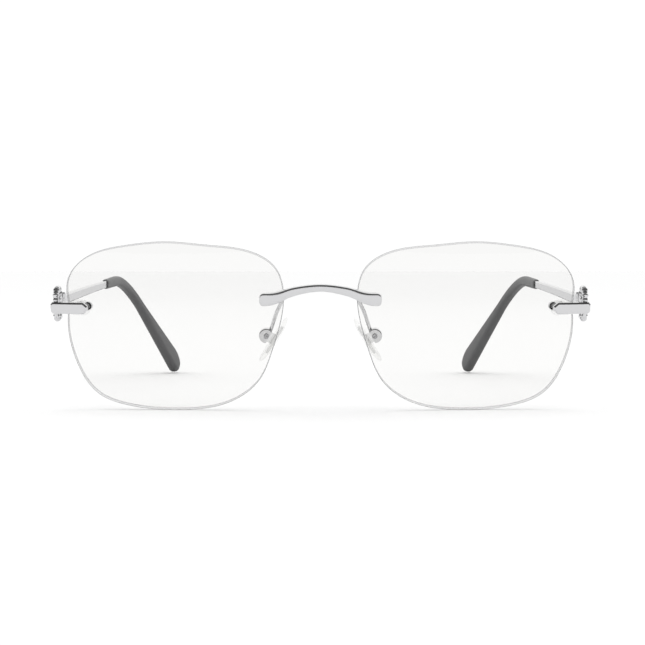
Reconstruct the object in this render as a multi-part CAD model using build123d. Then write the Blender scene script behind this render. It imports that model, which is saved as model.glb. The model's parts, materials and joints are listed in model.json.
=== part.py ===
from build123d import *
import math
import os

# Rimless spectacles: two drilled lenses, a bridge, two end pieces, two folding temples.
# Sizes are in millimetres. X points to the wearer's left, Y rearwards, Z up.
# The front is modelled upright and then leaned forward by FRONT_TILT about the X axis.
# Every paired piece is modelled on the wearer's left (+X) and mirrored to the right.

# ------------------------------------------------------------------ driving dimensions
LENS_WIDTH = 54.0            # boxed eye size
LENS_HEIGHT = 42.2
LENS_SPACING = 18.0          # distance between the lenses
LENS_CURVE = 110.0           # front surface radius
LENS_THICKNESS = 2.0
LENS_WRAP = 4.0              # degrees that each lens turns round towards the temple
LENS_BEVEL = 0.25
FRONT_TILT = 10.0            # degrees that the top of the front leans forward

SEAM = 0.02                  # air left between curved faces that meet
PAD_WASHER = 0.30            # clear washer between a lens and the metal
BACK_WASHER = 0.60           # clear washer behind a lens
BORE_CLEARANCE = 0.01
POST_RADIUS = 0.50
SLEEVE_RADIUS = 0.75
HOLE_RADIUS = SLEEVE_RADIUS + BORE_CLEARANCE
WASHER_SIZE = (5.4, 2.5)     # clear washers behind the metal: length, height
BACK_WASHER_SIZE = (5.0, 2.5)
BAR_WASHER_SIZE = (5.9, 3.8)
BAR_BACK_WASHER_SIZE = (4.6, 2.5)
POST_LENGTH = 3.3            # from the lens front to the post's end
NUT_RADIUS = 0.98
NUT_LENGTH = 1.15
NUT_ROUNDING = 0.4
POST_ROOT = 0.6              # how far a post reaches into the metal
CUT_MARGIN = 1.0             # how far a cutting tool runs past what it cuts

BRIDGE_HALF = 14.87
BRIDGE_TOP = 32.37
BRIDGE_UNDER = 30.60
BRIDGE_END_TOP = 30.05
BRIDGE_END_UNDER = 26.93
BRIDGE_CAP_CORNER = 1.0      # corner radius of the end caps
BRIDGE_FRONT = -1.35         # how far forward the bar bows in the middle
BRIDGE_FRONT_END = -0.8
BRIDGE_ROUNDING = 0.5
BRIDGE_MOUNT = (11.9, 28.5)  # middle of the two bridge posts, across and up
BRIDGE_POST_SPACING = 2.4

BAR_TIP = 57.05
BAR_END = 66.6
BAR_MIDDLE_Z = 25.8
BAR_SLOPE = 2.75             # degrees that the bar falls towards the temple
BAR_HEIGHT = 2.8
BAR_THICKNESS = 1.4
BAR_TIP_FLAT = 0.45          # half of the blunt inner end
BAR_TIP_LENGTH = 1.15        # length of the pointed part
BAR_END_CORNER = 0.5
BAR_BEVEL = 0.38
BAR_MOUNT = (59.3, BAR_MIDDLE_Z - 0.1)
BAR_POST_SPACING = 2.1

ARM_X = 65.5                 # arm that runs back from the bar to the hinge
ARM_Z = 25.25
ARM_THICKNESS = 0.9
ARM_HEIGHT = 2.2
ARM_ROOT = 0.5               # how far the arm reaches into the bar
WEB_WIDTH = 1.1              # plate that carries the two outer knuckles
WEB_THICKNESS = 0.7
WEB_GAP = 0.2                # from the plate to the middle knuckle
HINGE_BACK = 15.3            # hinge axis behind the front frame's X-Z plane
HINGE_RISE = 2.7             # degrees that the temples rise to the rear
KNUCKLE_RADIUS = 1.0
HINGE_HEIGHT = 3.3
MIDDLE_KNUCKLE = 1.14
KNUCKLE_GAP = 0.08
HINGE_SCREW_RADIUS = 0.50
SCREW_HEAD_RADIUS = 0.85
SCREW_HEAD_HEIGHT = 0.4
SCREW_HEAD_ROUNDING = 0.15
SCREW_SLOT = 0.22
SCREW_TAIL = 0.1
RUNNING_CLEARANCE = 0.05

LINK_X = 65.62               # closed oval link round the arm
LINK_FRONT = 6.8
LINK_DEPTH = 6.4
LINK_HEIGHT = 9.0
LINK_SECTION = 0.72          # radius of the link's round bar
LINK_MIDDLE_Z = 25.5
BEAD_RADIUS = 0.86
BEAD_LENGTH = 0.56
BEAD_ROUNDING = 0.2
BEAD_ANGLES = (28, 152, 208, 332)   # places round the link, in degrees from its rear

BLADE_START = 1.5
BOW_RADIUS = 1380.0          # the straight part of a temple bows out, seen from above
BEND_START = 81.5            # along the centreline, from the hinge axis
BEND_RADIUS = 27.5
BEND_ANGLE = 51.2            # how far the tip turns down
BEND_LEAN = 22.4             # how far the bend leans inwards from upright
SLEEVE_START = 66.0
SLEEVE_MOUTH = (2.1, 2.85)   # thickness and height of the tip sleeve at its mouth
SLEEVE_BEND = (2.8, 3.0)
SLEEVE_TIP = (3.4, 6.8)
TIP_LENGTH = 29.68           # from the bend's end to the tip
TIP_REAR_CORNER = 4.0        # rounding of the tip, seen from the side
TIP_FRONT_CORNER = 1.8
CORE_SIZE = (1.0, 1.4)
CORE_IN_TIP = 22.0
BLADE_THICKNESS = 1.2
BLADE_HEIGHT = 2.75          # at the hinge
BLADE_TAPER = 0.65           # height lost by the start of the sleeve
BLADE_IN_SLEEVE = 2.0
METAL_CORNER = 0.3           # corner radius as a share of the thickness
SLEEVE_CORNER = 0.42
NECK_WIDTH = 1.0
NECK_OVERLAP = 0.4

PAD_LENGTH = 13.0
PAD_WIDTH = 7.5
PAD_THICKNESS = 1.5
PAD_LEAN = 29.0              # degrees between the pad's long axis and upright, seen from in front
PAD_SPLAY = 3.0
PAD_SCREW_X = 13.55
PAD_SCREW_BACK = 9.0
PAD_SCREW_Z = 17.56
PAD_OFFSET = 2.3             # from the screw to the pad's middle plane
PAD_BOX_RADIUS = 1.85
PAD_BOX_LENGTH = 1.9
PAD_BOX_CUT = 0.75
PAD_SLOT = 1.0
TONGUE_THICKNESS = 0.8
TONGUE_RADIUS = 1.3
PAD_SCREW_RADIUS = 0.40
PAD_WIRE_RADIUS = 0.47
PAD_SCREW_HEAD = (0.68, 0.28)    # radius, height
PAD_SCREW_SLOT = 0.2
PAD_EDGE_ROUNDING = 0.6
PAD_BOX_ROUNDING = 0.3
INSERT_SIZE = (8.0, 3.75, 0.6)   # length, width and thickness of the plate inside the pad
TONGUE_CLEARANCE = 0.15

# ------------------------------------------------------------------ derived places
LENS_X = (LENS_WIDTH + LENS_SPACING) / 2
LENS_Z = LENS_HEIGHT / 2
LENS_CENTRE = Vector(
    LENS_X - LENS_CURVE * math.sin(math.radians(LENS_WRAP)),
    LENS_CURVE * math.cos(math.radians(LENS_WRAP)),
    LENS_Z,
)

# The lens edge, seen from in front, from the box centre; +X is the temple side.
LENS_EDGE = [
    (26.5, 7.1), (24.9, 13.9), (20.8, 17.3), (11.2, 20.1), (1.4, 21.1), (-8.5, 20.35),
    (-18.4, 18.9), (-25.4, 14.2), (-27.0, 8.6), (-24.3, -5.5), (-20.9, -13.3), (-13.5, -18.9),
    (-1.1, -21.0), (11.8, -20.2), (19.4, -17.4), (24.3, -10.3), (26.5, 1.0),
]

# Half of the bridge's upper and lower edges, seen from in front, from the middle outwards.
BRIDGE_UPPER = [(6.4, 31.66), (10.9, 30.32)]
BRIDGE_LOWER = [(6.4, 29.46), (10.9, 27.45)]

# The bridge's back from the lens inwards, seen from above: across, back.
BRIDGE_BACK = [(10.2, 1.6), (7.5, 0.75), (0, 0.35)]

# The pad wire: across, back, up. It starts on the back of the bridge and ends at the pad box.
PAD_WIRE = [(7.2, 0.2, 29.9), (7.2, 3.7, 29.5), (9.1, 5.5, 27.9), (10.9, 6.7, 23.9), (12.4, 9.0, 19.05)]
PAD_WIRE_BENDS = [1.4, 1.6, 2.6]

# ------------------------------------------------------------------ helpers
def at(x, back, up):
    return Vector(x, back, up)


def mirrored(shape):
    """The same piece, or group of pieces, for the other side."""
    solids = [solid.mirror(Plane.YZ) for solid in shape.solids()]
    return solids[0] if len(solids) == 1 else Compound(children=solids)


def ball(radius):
    """Sphere about the centre of the left lens's curvature."""
    return Pos(LENS_CENTRE) * Sphere(radius)


def front_prism(outline, start, end):
    """A closed outline drawn in the X-Z plane, as a prism from start to end along Y."""
    face = Pos(0, start, 0) * make_face(outline)
    return extrude(face, amount=end - start, dir=(0, 1, 0))


def lens_mount(place):
    """Plane on the lens front: local z points into the lens, local y points up."""
    across = place[0] - LENS_CENTRE.X
    up = place[1] - LENS_CENTRE.Z
    back = LENS_CENTRE.Y - math.sqrt(LENS_CURVE ** 2 - across ** 2 - up ** 2)
    point = at(place[0], back, place[1])
    return Plane(origin=point, x_dir=(-1, 0, 0), z_dir=LENS_CENTRE - point)


def pin(radius, start, end, x=0.0, y=0.0):
    """Cylinder along local z between two heights."""
    return Pos(x, y, start) * Cylinder(radius, end - start, align=(Align.CENTER, Align.CENTER, Align.MIN))


def pair(radius, start, end, spacing):
    """Two pins side by side along local x."""
    return [pin(radius, start, end, side * spacing / 2) for side in (-1, 1)]


def hollow(outer, inner, start, end, spacing):
    """Two tubes side by side along local x."""
    tubes = []
    for side in (-1, 1):
        tubes.append(pin(outer, start, end, side * spacing / 2) - pin(inner, start, end, side * spacing / 2))
    return tubes


# ------------------------------------------------------------------ lenses and their hardware
def lens():
    outline = Spline([at(LENS_X + x, 0, LENS_Z + z) for x, z in LENS_EDGE], periodic=True)
    body = front_prism(outline, -3, 14) & ball(LENS_CURVE)
    body = body - ball(LENS_CURVE - LENS_THICKNESS)
    rim = [edge for edge in body.edges() if edge.length > LENS_WIDTH]
    body = chamfer(rim, LENS_BEVEL)
    for place, spacing in ((BRIDGE_MOUNT, BRIDGE_POST_SPACING), (BAR_MOUNT, BAR_POST_SPACING)):
        for hole in pair(HOLE_RADIUS, -2, 5, spacing):
            body = body - lens_mount(place) * hole
    return body


def front_washer(place, spacing, size):
    blank = lens_mount(place) * extrude(SlotOverall(*size), amount=CUT_MARGIN, both=True)
    washer = (blank & ball(LENS_CURVE + PAD_WASHER)) - ball(LENS_CURVE + SEAM)
    for hole in pair(HOLE_RADIUS, -2, 2, spacing):
        washer = washer - lens_mount(place) * hole
    return washer


def back_washer(place, spacing, size):
    depth = LENS_THICKNESS + BACK_WASHER
    blank = lens_mount(place) * extrude(SlotOverall(*size), amount=depth)
    washer = blank & ball(LENS_CURVE - LENS_THICKNESS - SEAM)
    for hole in pair(HOLE_RADIUS, -1, depth + 1, spacing):
        washer = washer - lens_mount(place) * hole
    return washer


def post_sleeves(place, spacing):
    start = SEAM - PAD_WASHER
    end = LENS_THICKNESS + BACK_WASHER - SEAM
    tubes = hollow(SLEEVE_RADIUS, POST_RADIUS + BORE_CLEARANCE, start, end, spacing)
    return [lens_mount(place) * tube for tube in tubes]


def nuts(place, spacing):
    start = LENS_THICKNESS + BACK_WASHER
    group = []
    for side in (-1, 1):
        x = side * spacing / 2
        nut = pin(NUT_RADIUS, start, start + NUT_LENGTH, x)
        nut = fillet(nut.edges().group_by(Axis.Z)[-1], NUT_ROUNDING)
        nut = nut - pin(POST_RADIUS + BORE_CLEARANCE, start, POST_LENGTH + SEAM, x)
        group.append(lens_mount(place) * nut)
    return group


def posts(place, spacing):
    start = -PAD_WASHER - POST_ROOT
    return [lens_mount(place) * post for post in pair(POST_RADIUS, start, POST_LENGTH, spacing)]


# ------------------------------------------------------------------ bridge
def bridge_outline():
    """Arched bar with round-cornered end caps, seen from in front."""
    cap = BRIDGE_HALF - BRIDGE_CAP_CORNER
    left_upper = [at(-x, 0, z) for x, z in reversed(BRIDGE_UPPER)]
    right_upper = [at(x, 0, z) for x, z in BRIDGE_UPPER]
    left_lower = [at(-x, 0, z) for x, z in reversed(BRIDGE_LOWER)]
    right_lower = [at(x, 0, z) for x, z in BRIDGE_LOWER]
    upper = Spline(
        [at(-cap, 0, BRIDGE_END_TOP)] + left_upper + [at(0, 0, BRIDGE_TOP)] + right_upper
        + [at(cap, 0, BRIDGE_END_TOP)],
        tangents=[(1, 0, 0), (1, 0, 0)],
    )
    lower = Spline(
        [at(-cap, 0, BRIDGE_END_UNDER)] + left_lower + [at(0, 0, BRIDGE_UNDER)] + right_lower
        + [at(cap, 0, BRIDGE_END_UNDER)],
        tangents=[(1, 0, 0), (1, 0, 0)],
    )
    curves = [upper, lower]
    for side in (-1, 1):
        top = at(side * BRIDGE_HALF, 0, BRIDGE_END_TOP - BRIDGE_CAP_CORNER)
        low = at(side * BRIDGE_HALF, 0, BRIDGE_END_UNDER + BRIDGE_CAP_CORNER)
        curves.append(TangentArc(at(side * cap, 0, BRIDGE_END_TOP), top, tangent=(side, 0, 0)))
        curves.append(Line(top, low))
        curves.append(TangentArc(at(side * cap, 0, BRIDGE_END_UNDER), low, tangent=(side, 0, 0)))
    return curves


def bridge_plan():
    """The bridge seen from above: it bows forward between the lenses."""
    reach = BRIDGE_HALF + 0.5
    rear = 3.0
    (arch_x, arch_y), (step_x, step_y), middle = BRIDGE_BACK
    front = ThreePointArc((-reach, BRIDGE_FRONT_END), (0, BRIDGE_FRONT), (reach, BRIDGE_FRONT_END))
    behind = Spline([(-arch_x, arch_y), (-step_x, step_y), middle, (step_x, step_y), (arch_x, arch_y)])
    sides = []
    for side in (-1, 1):
        sides.append(Polyline(
            (side * reach, BRIDGE_FRONT_END), (side * reach, rear),
            (side * arch_x, rear), (side * arch_x, arch_y),
        ))
    return make_face([front, behind] + sides)


def bridge_bar():
    bar = front_prism(bridge_outline(), -4, 5)
    plan = extrude(Pos(0, 0, 20) * bridge_plan(), amount=20)
    bar = bar & plan
    seat = ball(LENS_CURVE + PAD_WASHER + SEAM)
    bar = bar - seat - mirrored(seat)
    front_face = bar.faces().sort_by(Axis.Y)[0]
    return fillet(front_face.edges(), BRIDGE_ROUNDING)


def bridge():
    body = bridge_bar()
    for post in posts(BRIDGE_MOUNT, BRIDGE_POST_SPACING):
        body = body + post + mirrored(post)
    return body


# ------------------------------------------------------------------ end pieces and hinges
def bar_front(x):
    """How far back the bar's front face is, at a distance across."""
    across = x - LENS_CENTRE.X
    radius = LENS_CURVE + PAD_WASHER + BAR_THICKNESS
    return LENS_CENTRE.Y - math.sqrt(radius ** 2 - across ** 2)


def bar():
    """Bevelled bar with a pointed inner end, lying along the lens."""
    half = BAR_HEIGHT / 2
    length = BAR_END - BAR_TIP
    upper = [
        (0, BAR_TIP_FLAT), (BAR_TIP_LENGTH, half),
        (length - BAR_END_CORNER, half), (length, half - BAR_END_CORNER),
    ]
    lower = [(x, -z) for x, z in reversed(upper)]
    outline = Polyline(*[at(x, 0, z) for x, z in upper + lower], close=True)
    body = Pos(BAR_TIP, 0, BAR_MIDDLE_Z) * Rot(0, BAR_SLOPE, 0) * front_prism(outline, 0, 12)
    body = body & ball(LENS_CURVE + PAD_WASHER + BAR_THICKNESS)
    body = body - ball(LENS_CURVE + PAD_WASHER + SEAM)
    front_face = body.faces().filter_by(GeomType.SPHERE).sort_by(Axis.Y)[0]
    return chamfer(front_face.edges(), BAR_BEVEL)


def hinge_plane():
    """Frame of the left hinge: local z is the hinge axis, local y runs back along the temple."""
    tilt = math.radians(FRONT_TILT)
    rise = math.radians(HINGE_RISE)
    point = at(
        ARM_X,
        HINGE_BACK * math.cos(tilt) - ARM_Z * math.sin(tilt),
        HINGE_BACK * math.sin(tilt) + ARM_Z * math.cos(tilt),
    )
    return Plane(origin=point, x_dir=(1, 0, 0), z_dir=(0, -math.sin(rise), math.cos(rise)))


def hinge_block(width, start, end, low, high):
    return Pos(0, (start + end) / 2, (low + high) / 2) * Box(width, end - start, high - low)


def arm():
    """Flat arm from the bar to the hinge, as wide as the hinge's front end."""
    start = bar_front(ARM_X) + BAR_THICKNESS - ARM_ROOT
    end = HINGE_BACK - KNUCKLE_RADIUS - WEB_THICKNESS / 2
    length = end - start
    return Pos(ARM_X, start + length / 2, ARM_Z) * Box(ARM_THICKNESS, length, ARM_HEIGHT)


def front_knuckles():
    """The two outer knuckles and the plate that carries them, in the hinge frame."""
    half = HINGE_HEIGHT / 2
    inner = MIDDLE_KNUCKLE / 2 + KNUCKLE_GAP
    rear = -KNUCKLE_RADIUS - WEB_GAP
    body = hinge_block(WEB_WIDTH, rear - WEB_THICKNESS, rear, -half, half)
    for low, high in ((-half, -inner), (inner, half)):
        body = body + hinge_block(WEB_WIDTH, rear - WEB_THICKNESS / 2, 0, low, high)
        body = body + pin(KNUCKLE_RADIUS, low, high)
    return body - pin(HINGE_SCREW_RADIUS + BORE_CLEARANCE, -half, half)


def endpiece():
    body = bar() + arm()
    for post in posts(BAR_MOUNT, BAR_POST_SPACING):
        body = body + post
    tilted = tilt_front(body)
    return tilted + hinge_plane() * front_knuckles()


def hinge_screw():
    """Slotted screw through the three knuckles."""
    half = HINGE_HEIGHT / 2
    top = half + SCREW_HEAD_HEIGHT
    body = pin(HINGE_SCREW_RADIUS, -half - SCREW_TAIL, half)
    head = fillet(pin(SCREW_HEAD_RADIUS, half, top).edges().group_by(Axis.Z)[-1], SCREW_HEAD_ROUNDING)
    slot = Pos(0, 0, top) * Box(4 * SCREW_HEAD_RADIUS, SCREW_SLOT, SCREW_HEAD_HEIGHT)
    return hinge_plane() * (body + head - slot)


# ------------------------------------------------------------------ oval link
def link():
    """Closed oval ring with raised beads; the arm passes through both of its uprights."""
    run = (LINK_HEIGHT - LINK_DEPTH) / 2
    reach = LINK_DEPTH / 2 - LINK_SECTION
    middle = LINK_FRONT + LINK_DEPTH / 2
    front_low = at(LINK_X, middle - reach, LINK_MIDDLE_Z - run)
    front_high = at(LINK_X, middle - reach, LINK_MIDDLE_Z + run)
    rear_high = at(LINK_X, middle + reach, LINK_MIDDLE_Z + run)
    rear_low = at(LINK_X, middle + reach, LINK_MIDDLE_Z - run)
    path = Wire([
        Line(front_low, front_high),
        ThreePointArc(front_high, at(LINK_X, middle, LINK_MIDDLE_Z + run + reach), rear_high),
        Line(rear_high, rear_low),
        ThreePointArc(rear_low, at(LINK_X, middle, LINK_MIDDLE_Z - run - reach), front_low),
    ])
    section = Plane(origin=front_low, z_dir=(0, 0, 1)) * Circle(LINK_SECTION)
    ring = sweep(section, path=path)
    for angle in BEAD_ANGLES:
        spot = math.radians(angle)
        side = 1 if angle < 180 else -1
        centre = at(
            LINK_X, middle + reach * math.cos(spot), LINK_MIDDLE_Z + side * run + reach * math.sin(spot)
        )
        heading = (0, -math.sin(spot), math.cos(spot))
        bead = extrude(Circle(BEAD_RADIUS), amount=BEAD_LENGTH / 2, both=True)
        bead = fillet(bead.edges().filter_by(GeomType.CIRCLE), BEAD_ROUNDING)
        ring = ring + Plane(origin=centre, z_dir=heading) * bead
    window = Pos(ARM_X, LINK_FRONT + LINK_DEPTH / 2, ARM_Z) * Box(
        ARM_THICKNESS + 2 * SEAM, LINK_DEPTH + 2, ARM_HEIGHT + 2 * SEAM
    )
    return ring - window


# ------------------------------------------------------------------ temples
def temple_plane(distance):
    """Frame on the bowed centreline: local z runs to the rear, local y points down."""
    turn = distance / BOW_RADIUS
    return Plane(
        origin=(-BOW_RADIUS * (1 - math.cos(turn)), BOW_RADIUS * math.sin(turn), 0),
        x_dir=(math.cos(turn), math.sin(turn), 0), z_dir=(-math.sin(turn), math.cos(turn), 0),
    )


def bend_axis():
    """Axis that the tip turns about, in the frame of the bend's start."""
    lean = math.radians(BEND_LEAN)
    centre = (-BEND_RADIUS * math.sin(lean), BEND_RADIUS * math.cos(lean), 0)
    return Axis(centre, (-math.cos(lean), -math.sin(lean), 0))


def rounded(size, share, margin=0.0):
    thickness = size[0] + 2 * margin
    return RectangleRounded(thickness, size[1] + 2 * margin, share * thickness)


def bent_bar(stations, bend_size, tip_size, tip_length, share, margin=0.0):
    """Bar along the temple: lofted to the bend, turned round it, then lofted to its end."""
    straight = loft([temple_plane(s) * rounded(size, share, margin) for s, size in stations])
    section = rounded(bend_size, share, margin)
    bend = revolve(section, axis=bend_axis(), revolution_arc=BEND_ANGLE)
    tip = loft([section, Pos(0, 0, tip_length) * rounded(tip_size, share, margin)], ruled=True)
    tip = tip.rotate(bend_axis(), BEND_ANGLE)
    return straight + temple_plane(BEND_START) * (bend + tip)


def blade_size(distance):
    return (BLADE_THICKNESS, BLADE_HEIGHT - BLADE_TAPER * distance / SLEEVE_START)


def blade(start, end, margin=0.0):
    stations = [start + (end - start) * step / 3 for step in range(4)]
    return loft([temple_plane(s) * rounded(blade_size(s), METAL_CORNER, margin) for s in stations])


def core(margin):
    """Wire that stiffens the tip; the margin enlarges it to make the sleeve's bore."""
    start = SLEEVE_START + BLADE_IN_SLEEVE / 2
    stations = [(s, CORE_SIZE) for s in (start, (start + BEND_START) / 2, BEND_START)]
    return bent_bar(stations, CORE_SIZE, CORE_SIZE, CORE_IN_TIP + margin, METAL_CORNER, margin)


def temple():
    half = MIDDLE_KNUCKLE / 2
    neck = hinge_block(NECK_WIDTH, 0, BLADE_START + NECK_OVERLAP, -half, half)
    body = blade(BLADE_START, SLEEVE_START + BLADE_IN_SLEEVE) + core(0.0) + neck
    body = body + pin(KNUCKLE_RADIUS, -half, half)
    return hinge_plane() * (body - pin(HINGE_SCREW_RADIUS + RUNNING_CLEARANCE, -half, half))


def tip_rounding():
    """What is cut off the tip's last corners, in the frame of the bend's start."""
    reach = 12.0
    width = SLEEVE_TIP[0] + 2 * SEAM
    height = SLEEVE_TIP[1] + 2 * SEAM
    block = Pos(0, 0, TIP_LENGTH - reach / 2) * Box(width, height, reach)
    corners = block.edges().group_by(Axis.Z)[-1].filter_by(Axis.X).sort_by(Axis.Y)
    block = fillet(corners[0], TIP_REAR_CORNER)
    corners = block.edges().filter_by(Axis.X).group_by(Axis.Y)[-1].group_by(Axis.Z)[-1]
    block = fillet(corners, TIP_FRONT_CORNER)
    cutter = Pos(0, 0, TIP_LENGTH) * Box(3 * width, 2 * height, reach) - block
    return cutter.rotate(bend_axis(), BEND_ANGLE)


def tip_sleeve():
    middle = tuple((a + b) / 2 for a, b in zip(SLEEVE_MOUTH, SLEEVE_BEND))
    halfway = (SLEEVE_START + BEND_START) / 2
    stations = [(SLEEVE_START, SLEEVE_MOUTH), (halfway, middle), (BEND_START, SLEEVE_BEND)]
    body = bent_bar(stations, SLEEVE_BEND, SLEEVE_TIP, TIP_LENGTH, SLEEVE_CORNER)
    body = body - temple_plane(BEND_START) * tip_rounding()
    mouth = blade(SLEEVE_START - CUT_MARGIN, SLEEVE_START + BLADE_IN_SLEEVE + SEAM, SEAM)
    return hinge_plane() * (body - mouth - core(SEAM))


# ------------------------------------------------------------------ nose pads
def pad_screw_plane():
    """Frame of the left pad screw: local z points back, local x towards the pad, local y up."""
    lean = math.radians(PAD_LEAN)
    return Plane(
        origin=(PAD_SCREW_X, PAD_SCREW_BACK, PAD_SCREW_Z),
        x_dir=(-math.cos(lean), 0, -math.sin(lean)), z_dir=(0, 1, 0),
    )


def pad_plane():
    """Frame of the left pad: local z faces the nose, local y runs along the pad."""
    return pad_screw_plane() * Pos(PAD_OFFSET, 0, 0) * Rot(0, 90, 0) * Rot(PAD_SPLAY, 0, 0)


def pad_box():
    """Cup with two cheeks that hold the pad's tongue."""
    half = PAD_BOX_LENGTH / 2
    body = pin(PAD_BOX_RADIUS, -half, half)
    body = fillet(body.edges().filter_by(GeomType.CIRCLE), PAD_BOX_ROUNDING)
    body = body - Pos(PAD_BOX_CUT + 2, 0, 0) * Box(4, 6, 6)
    room = TONGUE_RADIUS + TONGUE_CLEARANCE
    slot = pin(room, -PAD_SLOT / 2, PAD_SLOT / 2) + Pos(2, 0, 0) * Box(4, 2 * room, PAD_SLOT)
    body = body - slot - pin(PAD_SCREW_RADIUS + BORE_CLEARANCE, -half, half)
    return pad_screw_plane() * body


def pad_screw():
    half = PAD_BOX_LENGTH / 2
    shank = pin(PAD_SCREW_RADIUS, -half, half)
    radius, height = PAD_SCREW_HEAD
    head = pin(radius, -half - height, -half)
    head = fillet(head.edges().group_by(Axis.Z)[0], 0.4 * height)
    slot = Pos(0, 0, -half - height) * Box(4 * radius, PAD_SCREW_SLOT, height)
    return pad_screw_plane() * (shank + head - slot)


def pad_wire():
    path = FilletPolyline(*PAD_WIRE, radius=PAD_WIRE_BENDS)
    section = Plane(origin=PAD_WIRE[0], z_dir=at(*PAD_WIRE[1]) - at(*PAD_WIRE[0])) * Circle(PAD_WIRE_RADIUS)
    wire = sweep(section, path=path)
    half = PAD_BOX_LENGTH / 2
    box_space = pad_screw_plane() * pin(PAD_BOX_RADIUS, -half, half)
    return wire - bridge_bar() - box_space


def pad_insert():
    """Hard plate inside the pad, with the tongue that the screw passes through."""
    length, width, thickness = INSERT_SIZE
    plate = pad_plane() * extrude(SlotOverall(length, width, rotation=90), amount=thickness / 2, both=True)
    reach = PAD_OFFSET - thickness / 4
    tongue = pin(TONGUE_RADIUS, -TONGUE_THICKNESS / 2, TONGUE_THICKNESS / 2)
    tongue = tongue + Pos(reach / 2, 0, 0) * Box(reach, 2 * TONGUE_RADIUS, TONGUE_THICKNESS)
    tongue = tongue - pin(PAD_SCREW_RADIUS + RUNNING_CLEARANCE, -1, 1)
    return plate + pad_screw_plane() * tongue


def nose_pad():
    """Moulded soft pad: an oval with rounded edges and a slight crown."""
    outline = Ellipse(PAD_LENGTH / 2, PAD_WIDTH / 2, rotation=90) + SlotOverall(
        PAD_LENGTH * 0.96, PAD_WIDTH * 0.84, rotation=90
    )
    body = extrude(outline, amount=PAD_THICKNESS / 2, both=True)
    body = fillet(body.edges().group_by(Axis.Z)[0] + body.edges().group_by(Axis.Z)[-1], PAD_EDGE_ROUNDING)
    return pad_plane() * body - pad_insert()


# ------------------------------------------------------------------ assembly
def tilt_front(shape):
    return Rot(FRONT_TILT, 0, 0) * shape


def group(shapes):
    return Compound(children=list(shapes))


def left_front_pieces():
    """Every paired piece of the front, except those that are already placed."""
    return {
        "lens": lens(),
        "bridge_washer": front_washer(BRIDGE_MOUNT, BRIDGE_POST_SPACING, WASHER_SIZE),
        "endpiece_washer": front_washer(BAR_MOUNT, BAR_POST_SPACING, BAR_WASHER_SIZE),
        "bridge_back_washer": back_washer(BRIDGE_MOUNT, BRIDGE_POST_SPACING, BACK_WASHER_SIZE),
        "endpiece_back_washer": back_washer(BAR_MOUNT, BAR_POST_SPACING, BAR_BACK_WASHER_SIZE),
        "bridge_post_sleeves": group(post_sleeves(BRIDGE_MOUNT, BRIDGE_POST_SPACING)),
        "endpiece_post_sleeves": group(post_sleeves(BAR_MOUNT, BAR_POST_SPACING)),
        "bridge_nuts": group(nuts(BRIDGE_MOUNT, BRIDGE_POST_SPACING)),
        "endpiece_nuts": group(nuts(BAR_MOUNT, BAR_POST_SPACING)),
        "hinge_link": link(),
        "pad_arm": pad_wire(),
        "pad_box": pad_box(),
        "pad_screw": pad_screw(),
        "pad_insert": pad_insert(),
        "nose_pad": nose_pad(),
    }


def assemble():
    """All pieces by node name, standing on the lens bottoms and the temple tips."""
    left = {name: tilt_front(shape) for name, shape in left_front_pieces().items()}
    left["endpiece"] = endpiece()
    left["hinge_screw"] = hinge_screw()
    left["temple"] = temple()
    left["tip_sleeve"] = tip_sleeve()
    pieces = {"bridge": tilt_front(bridge())}
    for name, shape in left.items():
        pieces[name + "_left"] = shape
        pieces[name + "_right"] = mirrored(shape)
    return pieces


def main():
    pieces = assemble()
    whole = Compound(children=[shape.moved(Location()) for shape in pieces.values()])
    box = whole.bounding_box()
    shift = Vector(0, -(box.min.Y + box.max.Y) / 2, -box.min.Z)
    os.makedirs("parts", exist_ok=True)
    for name, shape in pieces.items():
        export_step(Pos(shift) * shape, f"parts/{name}.step")
    hinge = hinge_plane().origin + shift
    print("left hinge axis", [round(value, 4) for value in hinge])
    screw = (tilt_front(Location(pad_screw_plane().origin))).position + shift
    print("left pad screw", [round(value, 4) for value in screw])
    tip = pieces["tip_sleeve_left"].bounding_box().min.Z + shift.Z
    lens_low = pieces["lens_left"].bounding_box().min.Z + shift.Z
    print("tip height", round(tip, 3), "lens height", round(lens_low, 3), "size", box.size)


main()
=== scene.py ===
import json
import math

import bmesh
import bpy
from mathutils import Matrix, Vector


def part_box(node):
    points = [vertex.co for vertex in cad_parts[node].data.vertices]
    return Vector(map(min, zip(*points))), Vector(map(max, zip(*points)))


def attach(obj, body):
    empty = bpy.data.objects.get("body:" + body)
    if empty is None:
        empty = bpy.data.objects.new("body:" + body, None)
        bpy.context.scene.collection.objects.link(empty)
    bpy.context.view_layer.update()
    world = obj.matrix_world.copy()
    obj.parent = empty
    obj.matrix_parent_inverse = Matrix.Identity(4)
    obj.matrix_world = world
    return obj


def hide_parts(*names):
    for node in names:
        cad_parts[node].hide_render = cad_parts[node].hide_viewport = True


# Rimless spectacles. The sizes of the object are in millimetres, and FRONT, HINGE and PAD place
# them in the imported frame, which is in metres. The studio's own sizes are in metres.

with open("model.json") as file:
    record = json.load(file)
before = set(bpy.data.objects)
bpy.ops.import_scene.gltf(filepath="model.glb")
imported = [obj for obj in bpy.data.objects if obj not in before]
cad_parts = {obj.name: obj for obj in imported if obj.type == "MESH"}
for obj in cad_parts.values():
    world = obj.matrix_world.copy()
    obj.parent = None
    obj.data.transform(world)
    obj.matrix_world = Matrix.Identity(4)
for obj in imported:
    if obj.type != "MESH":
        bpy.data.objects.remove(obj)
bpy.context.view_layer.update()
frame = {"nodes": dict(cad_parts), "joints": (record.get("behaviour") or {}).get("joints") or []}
JOINTS = {joint["name"]: joint for joint in frame["joints"]}

MM = 0.001
FRONT_TILT = math.radians(10.0)
HINGE_IN_FRONT = Vector((65.5, 15.3, 25.25))    # hinge axis in the upright front

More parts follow.
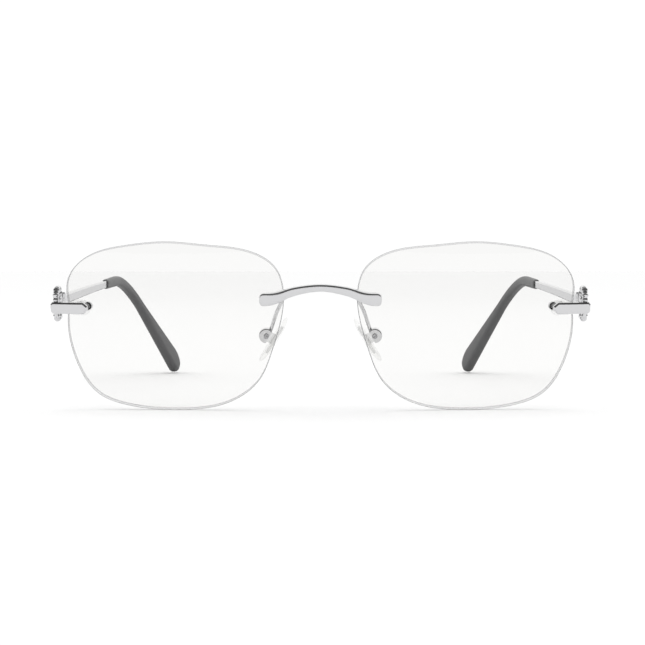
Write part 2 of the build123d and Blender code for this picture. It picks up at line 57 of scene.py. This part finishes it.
LENS_CURVE = 110.0
LENS_THICKNESS = 2.0
LENS_MIDDLE = (36.0, 21.1)
LENS_WRAP = math.radians(4.0)
LENS_CENTRE = Vector((
    LENS_MIDDLE[0] - LENS_CURVE * math.sin(LENS_WRAP),
    LENS_CURVE * math.cos(LENS_WRAP),
    LENS_MIDDLE[1],
))
LENS_EDGE_SEEN = 0.45         # how much of the light a lens edge stops, and how much of its painted grey shade shows
LENS_SKIN = 0.04              # this close to a lens face, a point belongs to the face

LINK_X = 65.62
LINK_FRONT = 6.8
LINK_DEPTH = 6.4
LINK_HEIGHT = 9.0
LINK_SECTION = 0.72           # radius of the bar that the link is bent from
LINK_MIDDLE_Z = 25.5
LINK_TURN_IN = 3.0            # how soon the link's ends turn into its straight sides
LINK_STEPS = 240
LINK_BANDS = (28, 62, 118, 152, 208, 242, 298, 332)    # degrees round the link
BAND_RISE = 0.15
BAND_SPREAD = 5.0             # degrees
GROOVE_DEPTH = 0.10
GROOVE_AWAY = 10.0            # degrees from its band
GROOVE_SPREAD = 3.0           # degrees

BOW_RADIUS = 1380.0
SLEEVE_START = 66.0
BEND_START = 81.5
BEND_RADIUS = 27.5
BEND_ANGLE = math.radians(51.2)
BEND_LEAN = math.radians(22.4)
TIP_LENGTH = 29.68
SLEEVE_MOUTH = (2.1, 2.85)    # thickness and height
SLEEVE_BEND = (2.8, 3.0)
SLEEVE_TIP = (3.4, 6.8)
SLEEVE_CORNER = 0.42          # share of the thickness
BORE = (1.24, 2.14)
BORE_CORNER = 0.3
BORE_DEPTHS = (1.2, 0.12)     # how far inside the mouth the bore's two rings lie
TIP_REAR_ROUND = (6.6, 4.6)   # rounding of the tip's end: along it, across it
TIP_FRONT_ROUND = (2.4, 2.0)
TIP_EDGE = 1.6                # length over which the end thins
TIP_THINNING = 0.42           # share of the thickness taken off each face at the very end
TIP_STEPS = 90
LIP_LENGTH = 1.1
LIP_INSET = 0.32

PAD_SCREW = Vector((13.55, 9.0, 17.56))
PAD_LEAN = math.radians(29.0)
PAD_SPLAY = math.radians(3.0)
PAD_OFFSET = 2.3              # from the screw to the pad's middle plane
PAD_LENGTH = 13.0
PAD_WIDTH = 7.5
PAD_THICKNESS = 1.5
PAD_FLATNESS = 3.4            # larger makes the faces flatter
PAD_SQUARENESS = 0.84         # smaller makes the outline squarer
PAD_SAG = 0.3
PAD_RING_ANGLES = (1, 15, 30, 42, 54, 64, 72, 79, 85, 90)    # degrees, from the middle to the rim
PAD_STEPS = 72

# The bridge, in the upright front. Each line is across, then up or back.
BRIDGE_TOP = [(0, 32.37), (6.4, 31.66), (10.9, 30.32), (13.6, 30.05)]
BRIDGE_UNDER = [(0, 30.60), (6.4, 29.46), (10.9, 27.45), (13.6, 26.93)]
BRIDGE_BACK = [(0, 0.35), (7.5, 0.75), (10.2, 1.6)]
BRIDGE_HALF = 14.87
BRIDGE_CAP = 1.1              # rounding at each end, seen from in front
BRIDGE_PINCH = 0.9            # share of the cap taken off above and below
BRIDGE_FRONT = -1.2
BRIDGE_FRONT_END = -0.65
BRIDGE_END_ROUND = (0.5, 0.45)
BRIDGE_CROWN = 0.16
BRIDGE_CORNER = 0.34
BRIDGE_SEAT = 0.32            # from the lens front to the bridge's back
BRIDGE_OVER_LENS = 8.6        # beyond this the bridge lies over a lens
BRIDGE_STEPS = 48
POST_ACROSS = 11.9
POST_UP = 28.5
POST_SPACING = 2.4
POST_ROOT = 0.3               # how deep a post starts inside the bridge
POST_RINGS = ((0, 0.5), (3.75, 0.5), (3.9, 0.36))    # along the post, radius
ROUND_STEPS = 24
CORNER_STEPS = 7
SHARP_ANGLE = math.radians(40)

# The studio. What is mirrored in the metal is dim towards the camera and bright behind the object.
MIRRORED_STUDIO = [(0.0, 0.10), (0.45, 0.05), (0.62, 0.06), (0.78, 0.80), (1.0, 0.92)]
MIRRORED_TOWARDS = (0, 1, 0)
STUDIO_LIGHT = [(0.0, 0.10), (0.45, 0.18), (0.75, 0.75), (1.0, 1.0)]
LIGHT_TOWARDS = (0, 0.5, 0.87)
LIGHT_STRENGTH = 1.9
BACKDROP_STRENGTH = 1.03
FLOOR_HALF = 6.0
FLOOR_SEEN = (0.705, 0.705, 0.705, 1)
FLOOR_MIRRORED = (0.52, 0.52, 0.525, 1)
FLOOR_BOUNCED = (0.30, 0.30, 0.30, 1)
LAMP_PLACE = Vector((0, 0.05, 0.9))
LAMP_SIZE = 1.2
LAMP_WATTS = 1.0
CAMERA_ASIDE = 0.0005
CAMERA_DISTANCE = 0.375
CAMERA_HEIGHT = 0.0365
CAMERA_PITCH = math.radians(90 - 2.24)


# ------------------------------------------------------------------ places in the frame
def front_place():
    """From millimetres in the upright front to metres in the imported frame."""
    turn = Matrix.Rotation(FRONT_TILT, 4, "X")
    shift = Vector(JOINTS["fold_left"]["pos_m"]) - turn @ (HINGE_IN_FRONT * MM)
    return Matrix.Translation(shift) @ turn @ Matrix.Scale(MM, 4)


def axes_place(origin, x, y, z):
    turn = Matrix((x, y, z)).transposed().to_4x4()
    return Matrix.Translation(origin) @ turn


def hinge_place():
    """From millimetres on the left hinge: z along its axis, y back along the temple."""
    z = Vector(JOINTS["fold_left"]["axis"]).normalized()
    x = Vector((1, 0, 0))
    return axes_place(Vector(JOINTS["fold_left"]["pos_m"]), x, z.cross(x), z) @ Matrix.Scale(MM, 4)


def pad_place():
    """The left pad in the upright front: z faces the nose, y runs along the pad."""
    lean = (math.cos(PAD_LEAN), math.sin(PAD_LEAN))
    screw = axes_place(PAD_SCREW, (-lean[0], 0, -lean[1]), (-lean[1], 0, lean[0]), (0, 1, 0))
    turn = Matrix.Rotation(math.pi / 2, 4, "Y") @ Matrix.Rotation(PAD_SPLAY, 4, "X")
    return screw @ Matrix.Translation((PAD_OFFSET, 0, 0)) @ turn


FRONT = front_place()
HINGE = hinge_place()
PAD = pad_place()
MIRROR = Matrix.Diagonal((-1, 1, 1, 1))


# ------------------------------------------------------------------ node helpers
def new_material(name):
    material = bpy.data.materials.new(name)
    material.use_nodes = True
    tree = material.node_tree
    tree.nodes.clear()
    return material, tree


def node(tree, kind, **values):
    """A new node. Each value goes to the input of that name, or else to the node's own setting."""
    made = tree.nodes.new(kind)
    for key, value in values.items():
        if key in made.inputs:
            made.inputs[key].default_value = value
        else:
            setattr(made, key, value)
    return made


def noise(tree, scale, detail):
    places = node(tree, "ShaderNodeTexCoord")
    made = node(tree, "ShaderNodeTexNoise", Scale=scale, Detail=detail)
    tree.links.new(places.outputs["Object"], made.inputs["Vector"])
    return made.outputs["Fac"]


def ranged(tree, value, low, high):
    made = node(tree, "ShaderNodeMapRange")
    made.inputs["To Min"].default_value = low
    made.inputs["To Max"].default_value = high
    tree.links.new(value, made.inputs["Value"])
    return made.outputs["Result"]


def bump(tree, height, strength, distance):
    made = node(tree, "ShaderNodeBump", Strength=strength, Distance=distance)
    tree.links.new(height, made.inputs["Height"])
    return made.outputs["Normal"]


def mixed(tree, share, first, second):
    """The first shader where the share is 0, the second where it is 1."""
    made = node(tree, "ShaderNodeMixShader")
    tree.links.new(share, made.inputs["Fac"])
    tree.links.new(first, made.inputs[1])
    tree.links.new(second, made.inputs[2])
    return made.outputs[0]


def surface(tree, shader):
    out = node(tree, "ShaderNodeOutputMaterial")
    tree.links.new(shader, out.inputs["Surface"])


def distance_from(tree, point):
    """Distance in metres from a point, which is mirrored to the right-hand side."""
    places = node(tree, "ShaderNodeTexCoord")
    folded = node(tree, "ShaderNodeVectorMath", operation="ABSOLUTE")
    tree.links.new(places.outputs["Object"], folded.inputs[0])
    split = node(tree, "ShaderNodeSeparateXYZ")
    tree.links.new(places.outputs["Object"], split.inputs[0])
    side = node(tree, "ShaderNodeSeparateXYZ")
    tree.links.new(folded.outputs[0], side.inputs[0])
    joined = node(tree, "ShaderNodeCombineXYZ")
    tree.links.new(side.outputs["X"], joined.inputs["X"])
    tree.links.new(split.outputs["Y"], joined.inputs["Y"])
    tree.links.new(split.outputs["Z"], joined.inputs["Z"])
    made = node(tree, "ShaderNodeVectorMath", operation="DISTANCE")
    tree.links.new(joined.outputs[0], made.inputs[0])
    made.inputs[1].default_value = point
    return made.outputs["Value"]


# ------------------------------------------------------------------ materials
def polished_metal():
    material, tree = new_material("polished_metal")
    shader = node(tree, "ShaderNodeBsdfPrincipled", Metallic=1.0)
    shader.inputs["Base Color"].default_value = (0.88, 0.88, 0.885, 1)
    wear = noise(tree, scale=900.0, detail=4.0)
    tree.links.new(ranged(tree, wear, 0.06, 0.13), shader.inputs["Roughness"])
    ripple = noise(tree, scale=260.0, detail=2.0)
    tree.links.new(bump(tree, ripple, strength=0.04, distance=0.0002), shader.inputs["Normal"])
    surface(tree, shader.outputs[0])
    return material


def screw_steel():
    material, tree = new_material("screw_steel")
    shader = node(tree, "ShaderNodeBsdfPrincipled", Metallic=1.0)
    shader.inputs["Base Color"].default_value = (0.55, 0.55, 0.56, 1)
    turned = noise(tree, scale=5000.0, detail=2.0)
    tree.links.new(ranged(tree, turned, 0.16, 0.34), shader.inputs["Roughness"])
    surface(tree, shader.outputs[0])
    return material


def clear_skin(tree, tint, ior, roughness):
    """A clear solid: what is behind shows through its tint, and its outer side reflects."""
    through = node(tree, "ShaderNodeBsdfTransparent", Color=tint)
    gloss = node(tree, "ShaderNodeBsdfGlossy", Color=(1, 1, 1, 1))
    haze = noise(tree, scale=400.0, detail=3.0)
    tree.links.new(ranged(tree, haze, *roughness), gloss.inputs["Roughness"])
    fresnel = node(tree, "ShaderNodeFresnel", IOR=ior)
    facing = node(tree, "ShaderNodeNewGeometry")
    outside = node(tree, "ShaderNodeMath", operation="SUBTRACT")
    outside.inputs[0].default_value = 1.0
    tree.links.new(facing.outputs["Backfacing"], outside.inputs[1])
    share = node(tree, "ShaderNodeMath", operation="MULTIPLY")
    tree.links.new(fresnel.outputs[0], share.inputs[0])
    tree.links.new(outside.outputs[0], share.inputs[1])
    return mixed(tree, share.outputs[0], through.outputs[0], gloss.outputs[0])


def clear_solid(name, tint, ior, roughness):
    material, tree = new_material(name)
    surface(tree, clear_skin(tree, tint, ior, roughness))
    return material


def lens_edge_mask(tree):
    """1 between the lens's two faces, where its edge is, and 0 on the faces."""
    depth = node(tree, "ShaderNodeMath", operation="SUBTRACT")
    tree.links.new(distance_from(tree, FRONT @ LENS_CENTRE), depth.inputs[0])
    depth.inputs[1].default_value = (LENS_CURVE - LENS_THICKNESS / 2) * MM
    size = node(tree, "ShaderNodeMath", operation="ABSOLUTE")
    tree.links.new(depth.outputs[0], size.inputs[0])
    inside = node(tree, "ShaderNodeMath", operation="LESS_THAN")
    tree.links.new(size.outputs[0], inside.inputs[0])
    inside.inputs[1].default_value = (LENS_THICKNESS / 2 - LENS_SKIN) * MM
    return inside.outputs[0]


def lens_material():
    """Clear coated faces, and a polished edge that stops part of the light and shows as a grey line: painted
    shade, standing in for the dark that refraction gives a lens edge.
    """
    material, tree = new_material("lens_glass")
    faces = clear_skin(tree, (0.968, 0.967, 0.963, 1), ior=1.42, roughness=(0.0, 0.01))
    # painted shade: the edge's grey, with a little random tone, stands in for the dark line that refraction
    # gives a lens edge
    edge = node(tree, "ShaderNodeBsdfPrincipled", Roughness=0.12)
    colour = node(tree, "ShaderNodeMix", data_type="RGBA")
    colour.inputs["A"].default_value = (0.42, 0.42, 0.43, 1)
    colour.inputs["B"].default_value = (0.58, 0.58, 0.59, 1)
    tree.links.new(noise(tree, scale=90.0, detail=2.0), colour.inputs["Factor"])
    tree.links.new(colour.outputs["Result"], edge.inputs["Base Color"])
    through = node(tree, "ShaderNodeBsdfTransparent", Color=(0.9, 0.9, 0.9, 1))
    rim = node(tree, "ShaderNodeMixShader", Fac=LENS_EDGE_SEEN)
    tree.links.new(through.outputs[0], rim.inputs[1])
    tree.links.new(edge.outputs[0], rim.inputs[2])
    surface(tree, mixed(tree, lens_edge_mask(tree), faces, rim.outputs[0]))
    return material


def tip_material():
    """Satin grey sleeve with a fine moulded grain."""
    material, tree = new_material("tip_sleeve")
    shader = node(tree, "ShaderNodeBsdfPrincipled")
    colour = node(tree, "ShaderNodeMix", data_type="RGBA")
    colour.inputs["A"].default_value = (0.118, 0.118, 0.12, 1)
    colour.inputs["B"].default_value = (0.15, 0.15, 0.152, 1)
    tree.links.new(noise(tree, scale=180.0, detail=3.0), colour.inputs["Factor"])
    tree.links.new(colour.outputs["Result"], shader.inputs["Base Color"])
    grain = noise(tree, scale=6000.0, detail=4.0)
    tree.links.new(ranged(tree, grain, 0.38, 0.52), shader.inputs["Roughness"])
    tree.links.new(bump(tree, grain, strength=0.25, distance=0.00004), shader.inputs["Normal"])
    surface(tree, shader.outputs[0])
    return material


MATERIALS = {
    "metal": polished_metal(),
    "steel": screw_steel(),
    "lens": lens_material(),
    "washer": clear_solid("clear_washer", (0.95, 0.95, 0.95, 1), ior=1.2, roughness=(0.02, 0.08)),
    "pad": clear_solid("nose_pad_silicone", (0.965, 0.965, 0.960, 1), ior=1.42, roughness=(0.05, 0.14)),
    "insert": clear_solid("pad_insert", (0.86, 0.86, 0.86, 1), ior=1.5, roughness=(0.02, 0.06)),
    "tip": tip_material(),
}

NODE_MATERIAL = {
    "lens": "lens",
    "bridge_washer": "washer",
    "endpiece_washer": "washer",
    "bridge_back_washer": "washer",
    "endpiece_back_washer": "washer",
    "bridge_post_sleeves": "washer",
    "endpiece_post_sleeves": "washer",
    "bridge": "metal",
    "bridge_nuts": "metal",
    "endpiece": "metal",
    "endpiece_nuts": "metal",
    "hinge_link": "metal",
    "hinge_screw": "steel",
    "temple": "metal",
    "tip_sleeve": "tip",
    "pad_arm": "metal",
    "pad_box": "metal",
    "pad_screw": "steel",
    "pad_insert": "insert",
    "nose_pad": "pad",
}


def base_name(name):
    for side in ("_left", "_right"):
        if name.endswith(side):
            return name[: -len(side)]
    return name


def dress_cad():
    """Gives every CAD piece its material."""
    for name, piece in frame["nodes"].items():
        piece.data.materials.clear()
        piece.data.materials.append(MATERIALS[NODE_MATERIAL[base_name(name)]])


# ------------------------------------------------------------------ meshes
def curve_through(points):
    """Smooth curve through points, level at both ends: gives a height at any distance across."""
    xs = [x for x, _ in points]
    ys = [y for _, y in points]
    slopes = [0.0]
    for i in range(1, len(points) - 1):
        slopes.append((ys[i + 1] - ys[i - 1]) / (xs[i + 1] - xs[i - 1]))
    slopes.append(0.0)

    def height(x):
        x = min(max(x, xs[0]), xs[-1])
        i = max(k for k in range(len(xs) - 1) if xs[k] <= x)
        width = xs[i + 1] - xs[i]
        t = (x - xs[i]) / width
        start = (1 + 2 * t) * (1 - t) ** 2 * ys[i] + t * (1 - t) ** 2 * width * slopes[i]
        end = t * t * (3 - 2 * t) * ys[i + 1] + t * t * (t - 1) * width * slopes[i + 1]
        return start + end

    return height


def elliptic(distance, length, depth):
    """How much an elliptical rounding takes off, at a distance from the end that it rounds."""
    if distance >= length:
        return 0.0
    return depth * (1 - math.sqrt(max(0.0, 1 - ((length - distance) / length) ** 2)))


def rounded_section(width, low, high, corner):
    """Rounded rectangle across x from -width/2 to width/2, and along y from low to high."""
    corner = min(corner, 0.499 * width, 0.499 * (high - low))
    points = []
    turns = ((1, 1, 0), (-1, 1, 90), (-1, -1, 180), (1, -1, 270))
    for across, up, start in turns:
        x = across * (width / 2 - corner)
        y = high - corner if up > 0 else low + corner
        for step in range(CORNER_STEPS):
            angle = math.radians(start + 90 * step / (CORNER_STEPS - 1))
            points.append(Vector((x + corner * math.cos(angle), y + corner * math.sin(angle), 0)))
    return points


def circle(centre, radius, first, second):
    """Ring of points about a centre, in the plane of two directions."""
    turns = [2 * math.pi * part / ROUND_STEPS for part in range(ROUND_STEPS)]
    return [centre + radius * (math.cos(t) * first + math.sin(t) * second) for t in turns]


def band(row, after, count):
    """Faces between two rings of a skin, by the rings' numbers."""
    faces = []
    for i in range(count):
        j = (i + 1) % count
        faces.append((row * count + i, row * count + j, after * count + j, after * count + i))
    return faces


def lofted(rings):
    """Closed skin over a row of rings with the same number of points."""
    count = len(rings[0])
    last = (len(rings) - 1) * count
    faces = [face for row in range(len(rings) - 1) for face in band(row, row + 1, count)]
    faces.append(tuple(range(count)))
    faces.append(tuple(range(last, last + count)))
    return [point for ring in rings for point in ring], faces


def looped(rings):
    """Skin over rings, the last of which joins the first."""
    count = len(rings[0])
    faces = [face for row in range(len(rings)) for face in band(row, (row + 1) % len(rings), count)]
    return [point for ring in rings for point in ring], faces


def make_piece(name, skins, place, body, node_name, material):
    """One piece from one or more skins, riding a body in place of a CAD node."""
    verts = []
    faces = []
    for skin_verts, skin_faces in skins:
        start = len(verts)
        verts.extend(place @ point for point in skin_verts)
        faces.extend(tuple(start + i for i in face) for face in skin_faces)
    mesh = bpy.data.meshes.new(name)
    mesh.from_pydata(verts, [], faces)
    form = bmesh.new()
    form.from_mesh(mesh)
    bmesh.ops.recalc_face_normals(form, faces=form.faces)
    form.to_mesh(mesh)
    form.free()
    mesh.polygons.foreach_set("use_smooth", [True] * len(mesh.polygons))
    mesh.set_sharp_from_angle(angle=SHARP_ANGLE)
    mesh.materials.append(MATERIALS[material])
    piece = bpy.data.objects.new(name, mesh)
    bpy.context.scene.collection.objects.link(piece)
    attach(piece, body)
    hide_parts(node_name)


def both_sides(name, skins, place, body, node_name, material):
    """The same piece on the left and, mirrored, on the right. The front has no side of its own."""
    for side, turn in (("_left", Matrix.Identity(4)), ("_right", MIRROR)):
        rides = body if body == "front" else body + side
        make_piece(name + side, skins, turn @ place, rides, node_name + side, material)


# ------------------------------------------------------------------ temple tips
def along_temple(distance):
    """Place on the tip's centreline: x across its thickness, y to its lower edge, z to its end."""
    flat = min(distance, BEND_START)
    turn = flat / BOW_RADIUS
    origin = Vector((-BOW_RADIUS * (1 - math.cos(turn)), BOW_RADIUS * math.sin(turn), 0))
    across = (math.cos(turn), math.sin(turn), 0)
    place = axes_place(origin, across, (0, 0, -1), (-math.sin(turn), math.cos(turn), 0))
    if distance <= BEND_START:
        return place
    bent = min((distance - BEND_START) / BEND_RADIUS, BEND_ANGLE)
    lean = (math.sin(BEND_LEAN), math.cos(BEND_LEAN))
    centre = Vector((-BEND_RADIUS * lean[0], BEND_RADIUS * lean[1], 0))
    spin = Matrix.Rotation(bent, 4, Vector((-lean[1], -lean[0], 0)))
    beyond = Matrix.Translation((0, 0, distance - BEND_START - bent * BEND_RADIUS))
    return place @ Matrix.Translation(centre) @ spin @ Matrix.Translation(-centre) @ beyond


def tip_size(distance):
    """Thickness and height of the tip sleeve at a distance from the hinge."""
    bend_end = BEND_START + BEND_RADIUS * BEND_ANGLE
    if distance < BEND_START:
        share = (distance - SLEEVE_START) / (BEND_START - SLEEVE_START)
        low, high = SLEEVE_MOUTH, SLEEVE_BEND
    else:
        share = max(0.0, (distance - bend_end) / TIP_LENGTH)
        low, high = SLEEVE_BEND, SLEEVE_TIP
    return [a + (b - a) * share for a, b in zip(low, high)]


def tip_stations(end):
    """Distances from the hinge: close together round the lip and the end, even between them."""
    lip_end = SLEEVE_START + LIP_LENGTH
    round_start = end - TIP_REAR_ROUND[0]
    stations = [SLEEVE_START + LIP_LENGTH * (1 - math.cos(math.radians(a))) for a in range(0, 91, 10)]
    stations += [lip_end + (round_start - lip_end) * i / TIP_STEPS for i in range(1, TIP_STEPS + 1)]
    stations += [end - TIP_REAR_ROUND[0] * math.cos(math.radians(a)) for a in range(4, 89, 4)]
    return stations


def tip_rings():
    end = BEND_START + BEND_RADIUS * BEND_ANGLE + TIP_LENGTH
    rings = []
    for depth in BORE_DEPTHS:
        place = along_temple(SLEEVE_START + depth)
        section = rounded_section(BORE[0], -BORE[1] / 2, BORE[1] / 2, BORE_CORNER)
        rings.append([place @ point for point in section])
    for station in tip_stations(end):
        width, height = tip_size(station)
        left = end - station
        lip = 2 * elliptic(station - SLEEVE_START, LIP_LENGTH, LIP_INSET)
        width -= lip + 2 * elliptic(left, TIP_EDGE, TIP_THINNING * width)
        low = -(height - lip) / 2 + elliptic(left, *TIP_REAR_ROUND)
        high = (height - lip) / 2 - elliptic(left, *TIP_FRONT_ROUND)
        section = rounded_section(width, low, high, SLEEVE_CORNER * width)
        rings.append([along_temple(station) @ point for point in section])
    return rings


# ------------------------------------------------------------------ nose pads
def pad_ring(share, side):
    """One ring round the pad, at a share of the way from its middle to its rim."""
    bulge = math.sqrt(max(0.0, 1 - share ** PAD_FLATNESS))
    ring = []
    for step in range(PAD_STEPS):
        angle = math.radians(360 / PAD_STEPS * step)
        across = math.copysign(abs(math.cos(angle)) ** PAD_SQUARENESS, math.cos(angle))
        along = math.copysign(abs(math.sin(angle)) ** PAD_SQUARENESS, math.sin(angle))
        x = share * across * PAD_WIDTH / 2
        y = share * along * PAD_LENGTH / 2
        sag = PAD_SAG * (2 * y / PAD_LENGTH) ** 2
        ring.append(Vector((x, y, side * bulge * PAD_THICKNESS / 2 - sag)))
    return ring


def pad_rings():
    """Rings from the middle of the nose side, round the rim, to the middle of the other side."""
    shares = [math.sin(math.radians(a)) for a in PAD_RING_ANGLES]
    nose_side = [pad_ring(share, 1) for share in shares]
    return nose_side + [pad_ring(share, -1) for share in reversed(shares[:-1])]


# ------------------------------------------------------------------ oval links
def link_centre(angle):
    reach = LINK_DEPTH / 2 - LINK_SECTION
    run = (LINK_HEIGHT - LINK_DEPTH) / 2
    straight = min(max(math.sin(angle) * LINK_TURN_IN, -1), 1) * run
    return Vector((
        LINK_X,
        LINK_FRONT + LINK_DEPTH / 2 + reach * math.cos(angle),
        LINK_MIDDLE_Z + reach * math.sin(angle) + straight,
    ))


def link_radius(angle):
    """Bar radius round the link, with raised bands set off by grooves."""
    radius = LINK_SECTION
    for middle in LINK_BANDS:
        away = abs((math.degrees(angle) - middle + 180) % 360 - 180)
        radius += BAND_RISE * math.exp(-(away / BAND_SPREAD) ** 2)
        radius -= GROOVE_DEPTH * math.exp(-((away - GROOVE_AWAY) / GROOVE_SPREAD) ** 2)
    return radius


def link_rings():
    sideways = Vector((1, 0, 0))
    near = 0.01
    rings = []
    for step in range(LINK_STEPS):
        angle = 2 * math.pi * step / LINK_STEPS
        heading = (link_centre(angle + near) - link_centre(angle - near)).normalized()
        rings.append(circle(link_centre(angle), link_radius(angle), heading.cross(sideways), sideways))
    return rings


# ------------------------------------------------------------------ bridge
def seat_back(x, z):
    """How far back the bridge may reach over the lens."""
    radius = LENS_CURVE + BRIDGE_SEAT
    across = abs(x) - LENS_CENTRE.x
    up = z - LENS_CENTRE.z
    return LENS_CENTRE.y - math.sqrt(radius ** 2 - across ** 2 - up ** 2)


def bridge_stations():
    """Distances across the bridge: close together round each cap, even between the caps."""
    inner = BRIDGE_HALF - BRIDGE_CAP
    xs = [BRIDGE_HALF - BRIDGE_CAP * (1 - math.sin(math.radians(a))) for a in range(90, 0, -6)]
    xs += [inner * (1 - i / BRIDGE_STEPS) for i in range(BRIDGE_STEPS + 1)]
    return xs + [-x for x in reversed(xs[:-1])]


def bridge_rings():
    top = curve_through(BRIDGE_TOP)
    under = curve_through(BRIDGE_UNDER)
    back = curve_through(BRIDGE_BACK)
    rings = []
    for x in bridge_stations():
        end = BRIDGE_HALF - abs(x)
        pinch = elliptic(end, BRIDGE_CAP, BRIDGE_PINCH * BRIDGE_CAP)
        low = under(abs(x)) + pinch
        high = top(abs(x)) - pinch
        middle = (low + high) / 2
        front = BRIDGE_FRONT + (BRIDGE_FRONT_END - BRIDGE_FRONT) * (x / BRIDGE_HALF) ** 2
        front += elliptic(end, *BRIDGE_END_ROUND)
        ring = []
        for point in rounded_section(1.0, low, high, BRIDGE_CORNER):
            crown = BRIDGE_CROWN * (1 - ((point.y - middle) / (high - low) * 2) ** 2)
            rear = back(abs(x))
            if abs(x) > BRIDGE_OVER_LENS:
                rear = min(rear, seat_back(x, point.y))
            share = 0.5 - point.x
            ring.append(Vector((x, rear + (front - crown - rear) * share, point.y)))
        rings.append(ring)
    return rings


def bridge_posts():
    """The four posts that go through the lenses, as closed rods."""
    skins = []
    for side in (-1, 1):
        for step in (-1, 1):
            x = side * POST_ACROSS + step * POST_SPACING / 2
            start = Vector((x, seat_back(x, POST_UP) - POST_ROOT, POST_UP))
            lens = Vector((side * LENS_CENTRE.x, LENS_CENTRE.y, LENS_CENTRE.z))
            heading = (lens - start).normalized()
            level = heading.cross(Vector((0, 0, 1))).normalized()
            upright = level.cross(heading)
            rings = [circle(start + heading * reach, radius, level, upright) for reach, radius in POST_RINGS]
            skins.append(lofted(rings))
    return skins


# ------------------------------------------------------------------ floor, light, camera
def only_mirrored(tree):
    """1 for what is seen in a mirror, 0 for what is seen directly or through glass."""
    path = node(tree, "ShaderNodeLightPath")
    difference = node(tree, "ShaderNodeMath", operation="SUBTRACT", use_clamp=True)
    tree.links.new(path.outputs["Is Glossy Ray"], difference.inputs[0])
    tree.links.new(path.outputs["Is Transmission Ray"], difference.inputs[1])
    return difference.outputs[0]


def by_use(tree, seen, lighting, mirrored):
    """One shader as seen, another as light on matt things, and a third in mirrors."""
    path = node(tree, "ShaderNodeLightPath")
    direct = mixed(tree, path.outputs["Is Diffuse Ray"], seen.outputs[0], lighting.outputs[0])
    return mixed(tree, only_mirrored(tree), direct, mirrored.outputs[0])


def make_floor():
    mesh = bpy.data.meshes.new("floor")
    corners = [(x * FLOOR_HALF, y * FLOOR_HALF, 0) for x, y in ((-1, -1), (1, -1), (1, 1), (-1, 1))]
    mesh.from_pydata(corners, [], [(0, 1, 2, 3)])
    floor = bpy.data.objects.new("floor", mesh)
    bpy.context.scene.collection.objects.link(floor)
    material, tree = new_material("floor_white")
    seen = node(tree, "ShaderNodeBsdfDiffuse", Color=FLOOR_SEEN)
    bounced = node(tree, "ShaderNodeBsdfDiffuse", Color=FLOOR_BOUNCED)
    mirrored = node(tree, "ShaderNodeBsdfDiffuse", Color=FLOOR_MIRRORED)
    surface(tree, by_use(tree, seen, bounced, mirrored))
    mesh.materials.append(material)


def direction_ramp(tree, towards, stops):
    """A grey that changes with how far the direction looked in turns towards a given one."""
    places = node(tree, "ShaderNodeTexCoord")
    turned = node(tree, "ShaderNodeVectorMath", operation="DOT_PRODUCT")
    tree.links.new(places.outputs["Generated"], turned.inputs[0])
    turned.inputs[1].default_value = towards
    scaled = node(tree, "ShaderNodeMapRange")
    scaled.inputs["From Min"].default_value = -1.0
    tree.links.new(turned.outputs["Value"], scaled.inputs["Value"])
    ramp = node(tree, "ShaderNodeValToRGB")
    marks = ramp.color_ramp.elements
    for mark, (place, grey) in zip(marks, (stops[0], stops[-1])):
        mark.position = place
        mark.color = (grey, grey, grey, 1)
    for place, grey in stops[1:-1]:
        marks.new(place).color = (grey, grey, grey, 1)
    tree.links.new(scaled.outputs[0], ramp.inputs["Fac"])
    return ramp.outputs["Color"]


def make_world():
    """A plain studio: white backdrop, dim towards the camera, lit from above and behind."""
    world = bpy.data.worlds.new("studio")
    bpy.context.scene.world = world
    world.use_nodes = True
    tree = world.node_tree
    tree.nodes.clear()
    mirrored = node(tree, "ShaderNodeBackground")
    tree.links.new(direction_ramp(tree, MIRRORED_TOWARDS, MIRRORED_STUDIO), mirrored.inputs["Color"])
    lighting = node(tree, "ShaderNodeBackground", Strength=LIGHT_STRENGTH)
    tree.links.new(direction_ramp(tree, LIGHT_TOWARDS, STUDIO_LIGHT), lighting.inputs["Color"])
    seen = node(tree, "ShaderNodeBackground", Color=(1, 1, 1, 1), Strength=BACKDROP_STRENGTH)
    out = node(tree, "ShaderNodeOutputWorld")
    tree.links.new(by_use(tree, seen, lighting, mirrored), out.inputs["Surface"])


def make_overhead_lamp():
    """A weak soft light from above, which the metal doesn't mirror."""
    lamp = bpy.data.lights.new("overhead", "AREA")
    lamp.shape = "RECTANGLE"
    lamp.size = LAMP_SIZE
    lamp.size_y = LAMP_SIZE
    lamp.energy = LAMP_WATTS
    holder = bpy.data.objects.new("overhead", lamp)
    bpy.context.scene.collection.objects.link(holder)
    holder.location = LAMP_PLACE
    holder.rotation_euler = (-LAMP_PLACE).to_track_quat("-Z", "Y").to_euler()
    holder.visible_glossy = False


def make_camera():
    """Straight in front, a little above the middle of the lenses, looking slightly down."""
    data = bpy.data.cameras.new("camera")
    data.lens = 85.0
    data.sensor_width = 36.0
    data.clip_start = 0.01
    camera = bpy.data.objects.new("camera", data)
    bpy.context.scene.collection.objects.link(camera)
    lens_low, lens_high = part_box("lens_left")
    lens_depth = (lens_low.y + lens_high.y) / 2
    camera.location = (CAMERA_ASIDE, lens_depth - CAMERA_DISTANCE, CAMERA_HEIGHT)
    camera.rotation_euler = (CAMERA_PITCH, 0, 0)
    bpy.context.scene.camera = camera


dress_cad()
both_sides("soft_tip", [lofted(tip_rings())], HINGE, "temple", "tip_sleeve", "tip")
both_sides("moulded_pad", [lofted(pad_rings())], FRONT @ PAD, "nose_pad", "nose_pad", "pad")
both_sides("oval_link", [looped(link_rings())], FRONT, "front", "hinge_link", "metal")
make_piece("arched_bridge", [lofted(bridge_rings())] + bridge_posts(), FRONT, "front", "bridge",
           "metal")
make_floor()
make_world()
make_overhead_lamp()
make_camera()
bpy.context.scene.view_settings.view_transform = "Standard"
